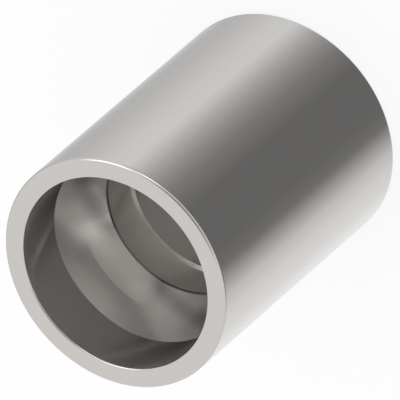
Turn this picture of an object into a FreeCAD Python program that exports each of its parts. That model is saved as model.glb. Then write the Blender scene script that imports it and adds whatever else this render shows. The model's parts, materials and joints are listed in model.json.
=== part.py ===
import FreeCAD, Part
import Sketcher
import math
import os

# Crimp ferrule for a skived hose: one turned sleeve, open at both ends.
# It stands on its collar end, with +Z along its axis towards the mouth that takes the hose.
# The origin is the centre of the collar's end face. All sizes are in millimetres.

doc = FreeCAD.newDocument("crimp_ferrule")


# Driving dimensions

SIZES = [
    ("shell_length", 32.0, "end face to end face"),
    ("mouth_bore", 20.0, "diameter that slides over the hose's cover"),
    ("mouth_wall", 2.0, "wall round the mouth bore, which sets the outside diameter"),
    ("mouth_depth", 5.8, "depth of the mouth bore"),
    ("bite_depth", 1.42, "how far the undercut behind the mouth bore goes into the wall"),
    ("bite_length", 1.68, "steep side of the undercut, out of sight behind the mouth bore's sharp edge"),
    ("taper_length", 5.52, "cone that leads the skived hose from the undercut's root to the grip"),
    ("grip_bore", 16.8, "diameter over the wire braid"),
    ("grip_length", 4.3, "straight wall behind the cone"),
    ("step_height", 0.25, "square step from the grip down to the land, on the radius"),
    ("collar_bore", 13.0, "diameter that passes the fitting's stem"),
    ("collar_length", 3.5, "thickness of the collar that locks into the stem's groove"),
    ("rim_round", 0.3, "round on the outer edge of each end"),
    ("mouth_round", 0.15, "round on the inner edge of the mouth"),
    ("taper_blend", 0.5, "radius where the cone runs out into the grip"),
    ("collar_chamfer", 0.4, "bevel at the outer end of the collar bore"),
    ("lip_chamfer", 0.3, "bevel on the collar's inner lip"),
]

sizes = doc.addObject("Spreadsheet::Sheet", "sizes")
for row, (alias, value, use) in enumerate(SIZES, start=1):
    sizes.set("A%d" % row, alias)
    sizes.set("B%d" % row, str(value))
    sizes.set("C%d" % row, use)
    sizes.setAlias("B%d" % row, alias)
doc.recompute()

# Radii and heights that the sketches share, as expressions on the sheet

OUTSIDE = "sizes.mouth_bore / 2 + sizes.mouth_wall"
MOUTH = "sizes.mouth_bore / 2"
GRIP = "sizes.grip_bore / 2"
LAND = "sizes.grip_bore / 2 - sizes.step_height"
COLLAR = "sizes.collar_bore / 2"
TOP = "sizes.shell_length"
MOUTH_END = "sizes.shell_length - sizes.mouth_depth"
ROOT = MOUTH + " + sizes.bite_depth"
ROOT_AT = MOUTH_END + " - sizes.bite_length"
TAPER_END = ROOT_AT + " - sizes.taper_length"
GRIP_END = TAPER_END + " - sizes.grip_length"
LIP = "sizes.collar_length"

body = doc.addObject("PartDesign::Body", "ferrule")
body.Label = "ferrule"


def origin_plane(role):
    """The body's own origin plane with this role."""
    return next(item for item in body.Origin.OriginFeatures if item.Role == role)


def number(expression):
    """The value of an expression on the sheet."""
    return float(body.evalExpression(expression))


def section_sketch(name, corners):
    """A closed outline through corners on the XZ plane, each held by its radius and its height.

    A corner is a pair of expressions, and None keeps it on the axis or on the foot's plane.
    """
    sketch = body.newObject("Sketcher::SketchObject", name)
    sketch.AttachmentSupport = [(origin_plane("XZ_Plane"), "")]
    sketch.MapMode = "FlatFace"
    places = []
    for radius, height in corners:
        across = number(radius) if radius else 0.0
        along = number(height) if height else 0.0
        places.append(FreeCAD.Vector(across, along, 0))
    for index, start in enumerate(places):
        end = places[(index + 1) % len(places)]
        sketch.addGeometry(Part.LineSegment(start, end), False)
    for index in range(len(places)):
        following = (index + 1) % len(places)
        sketch.addConstraint(Sketcher.Constraint("Coincident", index, 2, following, 1))
    for index, (radius, height) in enumerate(corners):
        if radius is None:
            sketch.addConstraint(Sketcher.Constraint("PointOnObject", index, 1, -2))
        else:
            across = Sketcher.Constraint("DistanceX", -1, 1, index, 1, places[index].x)
            sketch.setExpression("Constraints[%d]" % sketch.addConstraint(across), radius)
        if height is None:
            sketch.addConstraint(Sketcher.Constraint("PointOnObject", index, 1, -1))
        else:
            along = Sketcher.Constraint("DistanceY", -1, 1, index, 1, places[index].y)
            sketch.setExpression("Constraints[%d]" % sketch.addConstraint(along), height)
    return sketch


def rim_edge(feature, radius, height):
    """The name of the circle on a feature that lies at this radius and this height."""
    for index, edge in enumerate(feature.Shape.Edges, start=1):
        if not isinstance(edge.Curve, Part.Circle):
            continue
        right_radius = math.isclose(edge.Curve.Radius, number(radius), abs_tol=1e-4)
        right_height = math.isclose(edge.Curve.Center.z, number(height), abs_tol=1e-4)
        if right_radius and right_height:
            return "Edge%d" % index
    raise RuntimeError("no edge at radius %s and height %s" % (radius, height))


def revolved(kind, name, sketch):
    """A full turn of a sketch about its upright axis, as a solid or as a cut."""
    feature = body.newObject(kind, name)
    feature.Profile = sketch
    feature.ReferenceAxis = (sketch, ["V_Axis"])
    feature.Angle = 360.0
    doc.recompute()
    return feature


def edge_finish(kind, name, base, circles, length_name, size):
    """A round or a bevel on some of the circles that the feature before it left."""
    feature = body.newObject(kind, name)
    feature.Base = (base, [rim_edge(base, radius, height) for radius, height in circles])
    feature.setExpression(length_name, size)
    doc.recompute()
    return feature


# The blank: bar turned to the outside diameter and cut to length

blank_sketch = section_sketch("blank_section", [
    (None, None),
    (OUTSIDE, None),
    (OUTSIDE, TOP),
    (None, TOP),
])
blank = revolved("PartDesign::Revolution", "turned_blank", blank_sketch)

# The bore: mouth, undercut, cone, grip, land and the collar's own bore, cut in one section.
# The mouth bore's corner over the undercut is left sharp, because it bites the hose's cover.

bore_sketch = section_sketch("bore_section", [
    (None, TOP),
    (MOUTH, TOP),
    (MOUTH, MOUTH_END),
    (ROOT, ROOT_AT),
    (GRIP, TAPER_END),
    (GRIP, GRIP_END),
    (LAND, GRIP_END),
    (LAND, LIP),
    (COLLAR, LIP),
    (COLLAR, None),
    (None, None),
])
bore = revolved("PartDesign::Groove", "stepped_bore", bore_sketch)

# The edges: small rounds on both rims, a blend behind the cone and bevels at the collar

rims = edge_finish("PartDesign::Fillet", "rim_rounds", bore,
                   [(OUTSIDE, TOP), (OUTSIDE, "0")], "Radius", "sizes.rim_round")
mouth = edge_finish("PartDesign::Fillet", "mouth_edge", rims,
                    [(MOUTH, TOP)], "Radius", "sizes.mouth_round")
blend = edge_finish("PartDesign::Fillet", "cone_runout", mouth,
                    [(GRIP, TAPER_END)], "Radius", "sizes.taper_blend")
stem_lead = edge_finish("PartDesign::Chamfer", "stem_lead_in", blend,
                        [(COLLAR, "0")], "Size", "sizes.collar_chamfer")
lip = edge_finish("PartDesign::Chamfer", "lip_bevel", stem_lead,
                  [(COLLAR, LIP)], "Size", "sizes.lip_chamfer")

body.Tip = lip
body.Placement = FreeCAD.Placement(FreeCAD.Vector(0, 0, 0), FreeCAD.Rotation())
doc.recompute()

# Checks: every feature computed, every cut took metal away, and the sleeve is one sound solid

for item in doc.Objects:
    if "Invalid" in item.State or "Error" in item.State:
        raise RuntimeError("%s did not compute: %s" % (item.Name, item.State))

steps = [blank, bore, rims, mouth, blend, stem_lead, lip]
for before, after in zip(steps, steps[1:]):
    if not after.Shape.Volume < before.Shape.Volume:
        raise RuntimeError("%s took no metal away" % after.Name)

shape = body.Shape
if shape.isNull() or not shape.isValid() or len(shape.Solids) != 1:
    raise RuntimeError("the ferrule is not one sound solid")

os.makedirs("parts", exist_ok=True)
shape.exportStep(os.path.join("parts", body.Label + ".step"))
print("%s: %.1f mm3, %s" % (body.Label, shape.Volume, shape.BoundBox))
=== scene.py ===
import json
import math

import bpy
import numpy as np
from mathutils import Matrix, Vector


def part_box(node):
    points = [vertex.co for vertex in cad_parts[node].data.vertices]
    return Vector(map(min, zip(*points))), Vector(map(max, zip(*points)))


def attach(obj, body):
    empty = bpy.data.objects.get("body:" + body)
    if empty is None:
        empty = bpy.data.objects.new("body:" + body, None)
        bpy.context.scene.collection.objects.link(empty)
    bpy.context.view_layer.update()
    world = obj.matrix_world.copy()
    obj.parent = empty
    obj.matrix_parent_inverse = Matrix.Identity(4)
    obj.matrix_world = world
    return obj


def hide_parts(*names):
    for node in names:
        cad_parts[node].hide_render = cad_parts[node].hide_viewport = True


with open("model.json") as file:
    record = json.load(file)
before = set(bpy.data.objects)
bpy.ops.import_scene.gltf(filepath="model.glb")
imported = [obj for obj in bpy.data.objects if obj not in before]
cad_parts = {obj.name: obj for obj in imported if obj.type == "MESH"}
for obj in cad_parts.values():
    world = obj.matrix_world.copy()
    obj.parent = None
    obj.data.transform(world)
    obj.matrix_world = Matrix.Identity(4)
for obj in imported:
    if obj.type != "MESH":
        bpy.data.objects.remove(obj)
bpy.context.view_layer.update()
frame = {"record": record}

# Sizes of the ferrule, in metres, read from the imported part

MM = 0.001
mounts = {mount["name"]: mount for mount in frame["record"]["mounts"]}
foot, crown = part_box("ferrule")
LENGTH = crown.z - foot.z


def radius_of(mount):
    """Radius of a round mount."""
    return mounts[mount]["dims"]["r_mm"] * MM


def span_of(mount):
    """Lowest and highest point of a round mount's wall on the axis."""
    middle = mounts[mount]["pos_m"][2]
    half = mounts[mount]["dims"]["length_mm"] * MM / 2
    return middle - half, middle + half


OUTSIDE = radius_of("crimp_surface")
MOUTH = radius_of("mouth_bore")
GRIP = radius_of("grip_bore")
LAND = radius_of("land_bore")
COLLAR = radius_of("collar_bore")
MOUTH_END = span_of("mouth_bore")[0]
GRIP_END, GRIP_TOP = span_of("grip_bore")
LIP = span_of("land_bore")[0]
RIM_ROUND = span_of("crimp_surface")[0]
MOUTH_ROUND = LENGTH - span_of("mouth_bore")[1]
STEM_BEVEL = span_of("collar_bore")[0]
LIP_BEVEL = LIP - span_of("collar_bore")[1]

# The undercut behind the mouth bore and the blend under the cone have no mount, so their sizes are given here

BITE_DEPTH, BITE_LENGTH = 1.42 * MM, 1.68 * MM
ROOT, ROOT_AT = MOUTH + BITE_DEPTH, MOUTH_END - BITE_LENGTH
TAPER_BLEND = 0.5 * MM

# How finely the section is divided: points along each straight stretch and each arc, and steps round the axis

FACE_POINTS, OUTER_POINTS = 3, 33
MOUTH_POINTS, BITE_POINTS, CONE_POINTS = 7, 3, 9
GRIP_POINTS, LAND_POINTS, COLLAR_POINTS = 5, 9, 3
ARC_POINTS = 9
AROUND = 360


# The turned section: strips of (radius, height) with the true outward normal at every point

def wall(start, end, points=2):
    """A straight stretch: points evenly spaced from start to end, all with the normal to its right."""
    along = np.linspace(0.0, 1.0, points)[:, None]
    line = np.array(start) * (1 - along) + np.array(end) * along
    run = np.array(end) - np.array(start)
    normal = np.array([run[1], -run[0]]) / np.hypot(*run)
    return line, np.tile(normal, (points, 1))


def rounded(centre, radius, first, last, points=ARC_POINTS):
    """An arc about centre, from angle first to last in degrees; its normals point away from the centre."""
    angle = np.radians(np.linspace(first, last, points))
    normal = np.stack([np.cos(angle), np.sin(angle)], axis=1)
    return np.array(centre) + radius * normal, normal


def taper_angle():
    """Slope of the cone: the line from the undercut's root that just touches the blend's arc."""
    across, down = ROOT - GRIP - TAPER_BLEND, ROOT_AT - GRIP_TOP
    return math.atan2(across, down) + math.asin(TAPER_BLEND / math.hypot(across, down))


def ferrule_section():
    """The sleeve's closed section, strip by strip: foot face, outer wall, crown face, then down the bore."""
    taper = taper_angle()
    blend_middle = (GRIP + TAPER_BLEND, GRIP_TOP)
    blend_top = (blend_middle[0] - TAPER_BLEND * math.cos(taper), GRIP_TOP + TAPER_BLEND * math.sin(taper))
    return [
        wall((COLLAR + STEM_BEVEL, 0.0), (OUTSIDE - RIM_ROUND, 0.0), FACE_POINTS),
        rounded((OUTSIDE - RIM_ROUND, RIM_ROUND), RIM_ROUND, -90, 0),
        wall((OUTSIDE, RIM_ROUND), (OUTSIDE, LENGTH - RIM_ROUND), OUTER_POINTS),
        rounded((OUTSIDE - RIM_ROUND, LENGTH - RIM_ROUND), RIM_ROUND, 0, 90),
        wall((OUTSIDE - RIM_ROUND, LENGTH), (MOUTH + MOUTH_ROUND, LENGTH), FACE_POINTS),
        rounded((MOUTH + MOUTH_ROUND, LENGTH - MOUTH_ROUND), MOUTH_ROUND, 90, 180),
        wall((MOUTH, LENGTH - MOUTH_ROUND), (MOUTH, MOUTH_END), MOUTH_POINTS),
        wall((MOUTH, MOUTH_END), (ROOT, ROOT_AT), BITE_POINTS),
        wall((ROOT, ROOT_AT), blend_top, CONE_POINTS),
        rounded(blend_middle, TAPER_BLEND, 180 - math.degrees(taper), 180),
        wall((GRIP, GRIP_TOP), (GRIP, GRIP_END), GRIP_POINTS),
        wall((GRIP, GRIP_END), (LAND, GRIP_END)),
        wall((LAND, GRIP_END), (LAND, LIP), LAND_POINTS),
        wall((LAND, LIP), (COLLAR + LIP_BEVEL, LIP)),
        wall((COLLAR + LIP_BEVEL, LIP), (COLLAR, LIP - LIP_BEVEL)),
        wall((COLLAR, LIP - LIP_BEVEL), (COLLAR, STEM_BEVEL), COLLAR_POINTS),
        wall((COLLAR, STEM_BEVEL), (COLLAR + STEM_BEVEL, 0.0)),
    ]


def turned(name, section, around):
    """A closed section carried once round the Z axis.

    A section point (r, h) at the turn a lands at (r cos a, r sin a, h), for a in equal steps of a circle.
    Neighbouring strips share their end point, and each keeps its own normal there, so a corner stays crisp.
    """
    line = np.concatenate([points[:-1] for points, _ in section])
    turn = np.arange(around) * 2 * math.pi / around
    round_x, round_y = np.cos(turn), np.sin(turn)
    places = np.empty((len(line), around, 3))
    places[..., 0] = line[:, :1] * round_x
    places[..., 1] = line[:, :1] * round_y
    places[..., 2] = line[:, 1:]

    here = np.arange(len(line))[:, None] * around
    onward = (np.arange(len(line))[:, None] + 1) % len(line) * around
    now = np.arange(around)[None, :]
    after = (now + 1) % around
    quads = np.stack([here + now, here + after, onward + after, onward + now], axis=-1)

    lower = np.concatenate([normals[:-1] for _, normals in section])
    upper = np.concatenate([normals[1:] for _, normals in section])
    corners = np.empty((len(line), around, 4, 3))
    for corner, (normal, side) in enumerate([(lower, now), (lower, after), (upper, after), (upper, now)]):
        corners[:, :, corner, 0] = normal[:, :1] * round_x[side]
        corners[:, :, corner, 1] = normal[:, :1] * round_y[side]
        corners[:, :, corner, 2] = normal[:, 1:]

    mesh = bpy.data.meshes.new(name)
    mesh.from_pydata(places.reshape(-1, 3).tolist(), [], quads.reshape(-1, 4).tolist())
    mesh.polygons.foreach_set("use_smooth", np.ones(len(mesh.polygons), bool))
    mesh.normals_split_custom_set(corners.reshape(-1, 3).tolist())
    mesh.update()
    piece = bpy.data.objects.new(name, mesh)
    bpy.context.scene.collection.objects.link(piece)
    return piece


# Shader maths as expressions: a Socket wraps an output, and arithmetic on it adds the Math node

class Shader:
    """A node tree that nodes are added to by type, settings and inputs."""

    def __init__(self, tree):
        self.tree = tree
        tree.nodes.clear()

    def node(self, kind, settings=None, stops=None, out=0, **inputs):
        """Adds a node: its settings first, then its ramp's stops, then values or links by socket name."""
        made = self.tree.nodes.new("ShaderNode" + kind)
        for key, value in (settings or {}).items():
            setattr(made, key, value)
        if stops:
            ramp = made.color_ramp
            while len(ramp.elements) < len(stops):
                ramp.elements.new(1.0)
            for element, (place, level) in zip(ramp.elements, stops):
                element.position = place
                element.color = (level, level, level, 1.0) if isinstance(level, float) else (*level, 1.0)
        for key, value in inputs.items():
            place = int(key[2:]) if key.startswith("in") and key[2:].isdigit() else key.replace("_", " ")
            socket = made.inputs[place]
            if isinstance(value, Socket):
                self.tree.links.new(value.link, socket)
            else:
                socket.default_value = value
        return Socket(self, made.outputs[out]) if made.outputs else None


class Socket:
    """A node's output that can be added, multiplied and compared like a number."""

    def __init__(self, shader, link):
        self.shader = shader
        self.link = link

    def math(self, operation, *others, clamp=False):
        inputs = {"in%d" % place: value for place, value in enumerate((self, *others))}
        return self.shader.node("Math", {"operation": operation, "use_clamp": clamp}, **inputs)

    def __add__(self, other):
        return self.math("ADD", other)

    def __radd__(self, other):
        return self.math("ADD", other)

    def __mul__(self, other):
        return self.math("MULTIPLY", other)

    def __rmul__(self, other):
        return self.math("MULTIPLY", other)

    def __sub__(self, other):
        return self.math("SUBTRACT", other)

    def __rsub__(self, other):
        return self.shader.node("Math", {"operation": "SUBTRACT"}, in0=other, in1=self)

    def __truediv__(self, other):
        return self.math("DIVIDE", other)

    def other(self, name):
        """Another output of the same node."""
        return Socket(self.shader, self.link.node.outputs[name])

    def parts(self):
        """The X, Y and Z of a vector."""
        split = self.shader.node("SeparateXYZ", Vector=self).link.node
        return [Socket(self.shader, axis) for axis in split.outputs]

    def smooth(self, start, end):
        """0 below start, 1 above end, and an eased rise between them."""
        return self.shader.node("MapRange", {"interpolation_type": "SMOOTHSTEP"},
                                Value=self, From_Min=start, From_Max=end)

    def between(self, start, end, rise, fall):
        """1 between start and end and 0 outside, with an eased rise after start and fall before end."""
        return self.smooth(start, start + rise) - self.smooth(end - fall, end)


# The metal: bright steel, finely turned all over. The outside is polished, and the bore keeps a light haze
# that grows below the mouth. An edge is how far a change of finish takes to blend in.

STEEL = (0.53, 0.519, 0.508)
# The bore's steel is painted brighter than the outside's, as painted light
BORE_PAINTED_LIGHT = 0.17
EDGE = 0.05 * MM
ROUGHNESS, ROUGHNESS_CHANGE = 0.14, 0.03
HAZE_ROUGHNESS = 0.5
BORE_HAZE, DEEP_HAZE = 0.34, 0.16

# The tool's rings and its wider chatter bands, each with its pitch and its noise's detail, and faint clouds

FEED, FEED_DETAIL = 0.11 * MM, 2.0
CHATTER, CHATTER_DETAIL = 0.9 * MM, 1.0
MARK_HEIGHT, BAND_SHARE, BAND_TONE = 0.00006 * MM, 0.6, 0.02
MARK_GRAIN = 0.6
CLOUD_SCALE, CLOUD_DETAIL, CLOUD_GRAIN, CLOUD_TONE = 180.0, 3.0, 0.55, 0.01

# Painted light and shade in the bore, as changes of tone. "Beside" runs from 0 in the Y-Z plane to 1 in the
# X-Z plane.
# The mouth's wall has painted light near 0 and painted shade near 1. The cone has painted light near 0, up to
# its middle, and painted shade on each side that climbs towards the mouth, with painted light under it. The
# grip has painted light, most at its sides, where a painted dark line runs along its upper edge.

# Painted light on the front of the mouth's wall, and painted shade on its sides
MOUTH_PAINTED_LIGHT, MOUTH_LIGHT_BESIDE = 0.1, (0.05, 0.4)
MOUTH_PAINTED_SHADE, DARK_BESIDE = 0.5, (0.5, 0.9)
# Painted light on the front of the cone, up to its middle
CONE_PAINTED_LIGHT, CONE_LIGHT_BESIDE = 0.5, (0.04, 0.2)
CONE_LIGHT_TOP = LENGTH - 10.1 * MM
# Painted shade on the cone's sides, climbing towards the mouth, and painted light under it
CONE_PAINTED_SHADE, CONE_SHADE_BESIDE = 0.42, (0.02, 0.9, 0.2, 0.15)
CONE_SHADE_AT, CONE_SHADE_HALF, CONE_SHADE_CLIMB = LENGTH - 13.2 * MM, 1.6 * MM, 3.5 * MM
UNDER_PAINTED_LIGHT, UNDER_BESIDE = 0.5, (0.5, 0.7)
# Painted light on the grip, most at its sides, and a painted dark line along its upper edge
GRIP_PAINTED_LIGHT, GRIP_SIDE_PAINTED_LIGHT = 0.35, 0.25
SHADE_LINE_WIDTH, SHADE_LINE_DARK = 0.3 * MM, 0.5
GRIP_BESIDE = (0.06, 0.2)


def lathe_rings(shader, path, pitch, detail):
    """Rings that follow the tool: noise along its path, so that walls get hoops and faces get circles."""
    return shader.node("TexNoise", {"noise_dimensions": "1D"}, W=path / pitch,
                       Scale=1.0, Detail=detail, Roughness=MARK_GRAIN)


def bore_painted_light(beside, high):
    """What the painted light and shade in the bore add to the steel's tone, and what they then multiply it
    by.
    """
    mouth = high.smooth(MOUTH_END - EDGE, MOUTH_END)
    cone = high.between(GRIP_TOP, MOUTH_END, EDGE, EDGE)
    grip = high.between(GRIP_END, GRIP_TOP, EDGE, EDGE)
    grip_side = beside.smooth(*GRIP_BESIDE)
    # painted light on the front of the mouth's wall
    mouth_lit = mouth * (1 - beside.smooth(*MOUTH_LIGHT_BESIDE))
    # painted light on the front of the cone
    cone_light_band = high.between(GRIP_TOP, CONE_LIGHT_TOP, CONE_LIGHT_TOP - GRIP_TOP - EDGE, EDGE)
    cone_lit = cone_light_band * (1 - beside.smooth(*CONE_LIGHT_BESIDE))
    # painted shade on the cone's sides, slanting up towards the mouth, with painted light under it
    climb = high - CONE_SHADE_CLIMB * beside
    cone_shade = climb.between(CONE_SHADE_AT - CONE_SHADE_HALF, CONE_SHADE_AT + CONE_SHADE_HALF, CONE_SHADE_HALF, CONE_SHADE_HALF)
    under = cone * (1 - climb.smooth(CONE_SHADE_AT - CONE_SHADE_HALF, CONE_SHADE_AT)) * beside.smooth(*UNDER_BESIDE)
    # a painted dark line along the grip's upper edge, at its sides
    shade_line = high.between(GRIP_TOP, GRIP_TOP + SHADE_LINE_WIDTH, EDGE, EDGE) * grip_side
    bright = MOUTH_PAINTED_LIGHT * mouth_lit + CONE_PAINTED_LIGHT * cone_lit + UNDER_PAINTED_LIGHT * under
    # painted light on the grip, most at its sides
    bright = bright + grip * (GRIP_PAINTED_LIGHT + GRIP_SIDE_PAINTED_LIGHT * grip_side)
    # painted shade on the cone's sides
    cone_shaded = CONE_PAINTED_SHADE * cone * cone_shade * beside.between(*CONE_SHADE_BESIDE)
    # painted shade on the sides of the mouth's wall
    mouth_shaded = MOUTH_PAINTED_SHADE * mouth * beside.smooth(*DARK_BESIDE)
    return bright, (1 - SHADE_LINE_DARK * shade_line) * (1 - cone_shaded) * (1 - mouth_shaded)


def turned_steel():
    """Bright steel: rings from the tool, bands from its chatter, faint clouds, a haze in the bore, and
    painted light and shade there.
    """
    material = bpy.data.materials.new("turned_steel")
    material.use_nodes = True
    shader = Shader(material.node_tree)
    spot = shader.node("TexCoord", out=3)
    across, along, high = spot.parts()
    reach = (across * across + along * along).math("SQRT")
    inside_wall = 1 - reach.smooth(OUTSIDE - 2 * EDGE, OUTSIDE - EDGE)
    below_crown = 1 - high.smooth(LENGTH - MOUTH_ROUND, LENGTH - EDGE)
    bored = inside_wall * below_crown
    deep = 1 - high.smooth(ROOT_AT, MOUTH_END)
    path = reach + high
    rings = lathe_rings(shader, path, FEED, FEED_DETAIL)
    bands = lathe_rings(shader, path, CHATTER, CHATTER_DETAIL)
    clouds = shader.node("TexNoise", Vector=spot, Scale=CLOUD_SCALE, Detail=CLOUD_DETAIL,
                         Roughness=CLOUD_GRAIN)
    # The bore's tone takes painted light and shade; the bands and clouds vary the steel's own tone
    bright, dark = bore_painted_light(across * across / (reach * reach), high)
    tone = 1 + bored * (BORE_PAINTED_LIGHT + bright) + BAND_TONE * (bands - 0.5) + CLOUD_TONE * (clouds - 0.5)
    tone = tone * (1 - bored * (1 - dark))
    colour = shader.node("VectorMath", {"operation": "SCALE"}, in0=STEEL, Scale=tone)
    gloss = ROUGHNESS + ROUGHNESS_CHANGE * (rings + clouds - 1)
    marks = shader.node("Bump", Height=rings + BAND_SHARE * bands, Strength=1.0, Distance=MARK_HEIGHT)
    metals = [shader.node("BsdfPrincipled", Base_Color=colour, Metallic=1.0, Roughness=rough, Normal=marks)
              for rough in (gloss, HAZE_ROUGHNESS)]
    haze = bored * (BORE_HAZE + DEEP_HAZE * deep)
    shader.node("OutputMaterial", Surface=shader.node("MixShader", Fac=haze, in1=metals[0], in2=metals[1]))
    return material


sleeve = turned("sleeve", ferrule_section(), AROUND)
sleeve.data.materials.append(turned_steel())
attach(sleeve, "root")
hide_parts("ferrule")


# The studio: a white background. Reflections see its screens instead: a ring low down round the part, darkest
# on the camera's side, a pale ceiling with a dim middle, two soft windows, and a shade over the camera.
# Round the part, 0 degrees is the camera's side and 90 degrees is +X. Brightness 1 is the background's white.
# RING gives the brightness at each turn. It gives way to the ceiling between two heights, written as sines,
# and the ceiling's dim middle lies between two more.

RING = [(-180, 0.80), (-148, 1.0), (-110, 1.0), (-90, 0.86), (-62, 0.25), (-45, 0.21), (0, 0.21), (22, 0.31),
        (35, 0.43), (48, 0.61), (70, 1.0), (90, 0.92), (120, 0.71), (143, 0.60), (160, 0.63), (180, 0.80)]
RING_LIGHT = 1.1
RING_TOP, CEILING_START = -0.30, 0.35
CEILING = 1.09
CEILING_TINT = (1.015, 1.0, 0.98)
GAP_START, GAP_FULL, GAP_DIM = 0.94, 0.985, 0.75
ROOM_LIGHT = 1.0

# Windows, and the shade as one that takes light away: turn, height, outer and inner half width, glow

WINDOWS = [(90, 50, 17, 6, 2.4), (40, 29, 13, 5, 1.7), (0, 55, 40, 15, -0.45)]


def seen_by(shader):
    """Light Path's camera ray, and whether a ray is one that the camera, metal or glass looks along."""
    camera = shader.node("LightPath")
    glossy, through = camera.other("Is Glossy Ray"), camera.other("Is Transmission Ray")
    looking = (camera + glossy).math("ADD", through, clamp=True)
    return camera, looking


def direction(turn, height):
    """The unit vector towards a place in the studio, from its turn round the part and its height."""
    turn, height = math.radians(turn), math.radians(height)
    return (math.cos(height) * math.sin(turn), -math.cos(height) * math.cos(turn), math.sin(height))


def studio_world():
    """White for the camera, the screens for metal and glass, and one even light for everything else."""
    world = bpy.data.worlds.new("studio")
    world.use_nodes = True
    bpy.context.scene.world = world
    shader = Shader(world.node_tree)
    toward = shader.node("TexCoord", out=3)
    across, along, high = toward.parts()
    turn = across.math("ARCTAN2", 0 - along) / (2 * math.pi) + 0.5
    stops = [((degrees + 180) / 360, level) for degrees, level in RING]
    ring = shader.node("ValToRGB", stops=stops, Fac=turn)
    lift = high.smooth(RING_TOP, CEILING_START)
    ceiling = lift * CEILING * (1 - GAP_DIM * high.smooth(GAP_START, GAP_FULL))
    for turned_by, height, outer, inner, glow in WINDOWS:
        facing = shader.node("VectorMath", {"operation": "DOT_PRODUCT"}, out=1,
                             in0=toward, in1=direction(turned_by, height))
        ceiling = ceiling + glow * facing.smooth(math.cos(math.radians(outer)), math.cos(math.radians(inner)))
    above = shader.node("VectorMath", {"operation": "SCALE"}, in0=CEILING_TINT, Scale=ceiling)
    below = shader.node("VectorMath", {"operation": "SCALE"}, in0=ring, Scale=RING_LIGHT * (1 - lift))
    screens = shader.node("VectorMath", {"operation": "ADD"}, in0=above, in1=below)
    camera, looking = seen_by(shader)
    room = shader.node("Background", Color=(ROOM_LIGHT, ROOM_LIGHT, ROOM_LIGHT, 1.0), Strength=1.0)
    white = shader.node("Background", Color=(1.0, 1.0, 1.0, 1.0), Strength=1.0)
    mirrored = shader.node("Background", Color=screens, Strength=1.0)
    background = shader.node("MixShader", Fac=camera, in1=mirrored, in2=white)
    shader.node("OutputWorld", Surface=shader.node("MixShader", Fac=looking, in1=room, in2=background))


studio_world()

# The floor, and a grey card under the foot's hole that only reflections see, as the dark of a table would be

FLOOR_REACH = 3.0
FLOOR_PAINT = (0.98, 0.98, 0.98, 1.0)
FLOOR_WHITE = 0.8
CARD_GAP = 0.1 * MM
CARD_GREY = (0.28, 0.265, 0.25, 1.0)
CARD_SIDES = 96


def flat_piece(name, corners, shader_of):
    """A flat face through its corners, with a material that shader_of makes in the material's own tree."""
    mesh = bpy.data.meshes.new(name)
    mesh.from_pydata(corners, [], [tuple(range(len(corners)))])
    piece = bpy.data.objects.new(name, mesh)
    bpy.context.scene.collection.objects.link(piece)
    material = bpy.data.materials.new(name)
    material.use_nodes = True
    shader = Shader(material.node_tree)
    shader.node("OutputMaterial", Surface=shader_of(shader))
    mesh.materials.append(material)
    return piece


def floor_white(shader):
    """Part of the floor's white is the background's own, and the rest is paint that carries the shadow."""
    paint = shader.node("BsdfDiffuse", Color=FLOOR_PAINT)
    white = shader.node("Emission", Color=(1.0, 1.0, 1.0, 1.0), Strength=1.0)
    looking = seen_by(shader)[1]
    return shader.node("MixShader", Fac=looking * FLOOR_WHITE, in1=paint, in2=white)


def card_grey(shader):
    """An even grey."""
    return shader.node("Emission", Color=CARD_GREY, Strength=1.0)


def lay_floor():
    """A square floor at the foot's height; the screens round it are what the metal reflects."""
    signs = [(-1, -1), (1, -1), (1, 1), (-1, 1)]
    floor = flat_piece("floor", [(x * FLOOR_REACH, y * FLOOR_REACH, 0) for x, y in signs], floor_white)
    floor.visible_glossy = False


def lay_card():
    """A round card just below the foot."""
    reach = OUTSIDE - RIM_ROUND
    turns = [2 * math.pi * side / CARD_SIDES for side in range(CARD_SIDES)]
    rim = [(reach * math.cos(turn), reach * math.sin(turn), -CARD_GAP) for turn in turns]
    card = flat_piece("card", rim, card_grey)
    card.visible_camera = False
    card.visible_diffuse = False
    card.visible_shadow = False


lay_floor()
lay_card()

# The camera: the ferrule's axis is 41.58 degrees off the line of sight, and the picture is rolled about it

AXIS_TILT = math.radians(41.58)
ROLL = math.radians(130.90)
PICTURE = 400
MOUTH_AT = (115.3, 273.2)
FRAME_WIDTH = 3.153 * OUTSIDE
LENS, SENSOR = 1600.0, 36.0
CLIP_START, CLIP_END = 0.1, 20.0


def photo_camera():
    """A long lens along the photo's line of sight, aimed so that the crown's centre falls on its pixel."""
    back = Vector((0, -math.sin(AXIS_TILT), math.cos(AXIS_TILT)))
    level_up = Vector((0, math.cos(AXIS_TILT), math.sin(AXIS_TILT)))
    level_right = Vector((1, 0, 0))
    right = math.cos(ROLL) * level_right - math.sin(ROLL) * level_up
    up = math.sin(ROLL) * level_right + math.cos(ROLL) * level_up
    pixel = FRAME_WIDTH / PICTURE
    across = (PICTURE / 2 - MOUTH_AT[0]) * pixel
    down = (PICTURE / 2 - MOUTH_AT[1]) * pixel
    aim = Vector((0, 0, LENGTH)) + right * across - up * down
    middle = Vector((0, 0, LENGTH / 2))
    aim += back * (middle - aim).dot(back)
    distance = FRAME_WIDTH * LENS / SENSOR
    data = bpy.data.cameras.new("camera")
    data.lens, data.sensor_width = LENS, SENSOR
    data.clip_start, data.clip_end = CLIP_START, CLIP_END
    camera = bpy.data.objects.new("camera", data)
    bpy.context.scene.collection.objects.link(camera)
    place = aim + back * distance
    camera.matrix_world = Matrix([[right[row], up[row], back[row], place[row]] for row in range(3)]
                                 + [[0, 0, 0, 1]])
    bpy.context.scene.camera = camera


photo_camera()
bpy.context.scene.view_settings.view_transform = "Standard"
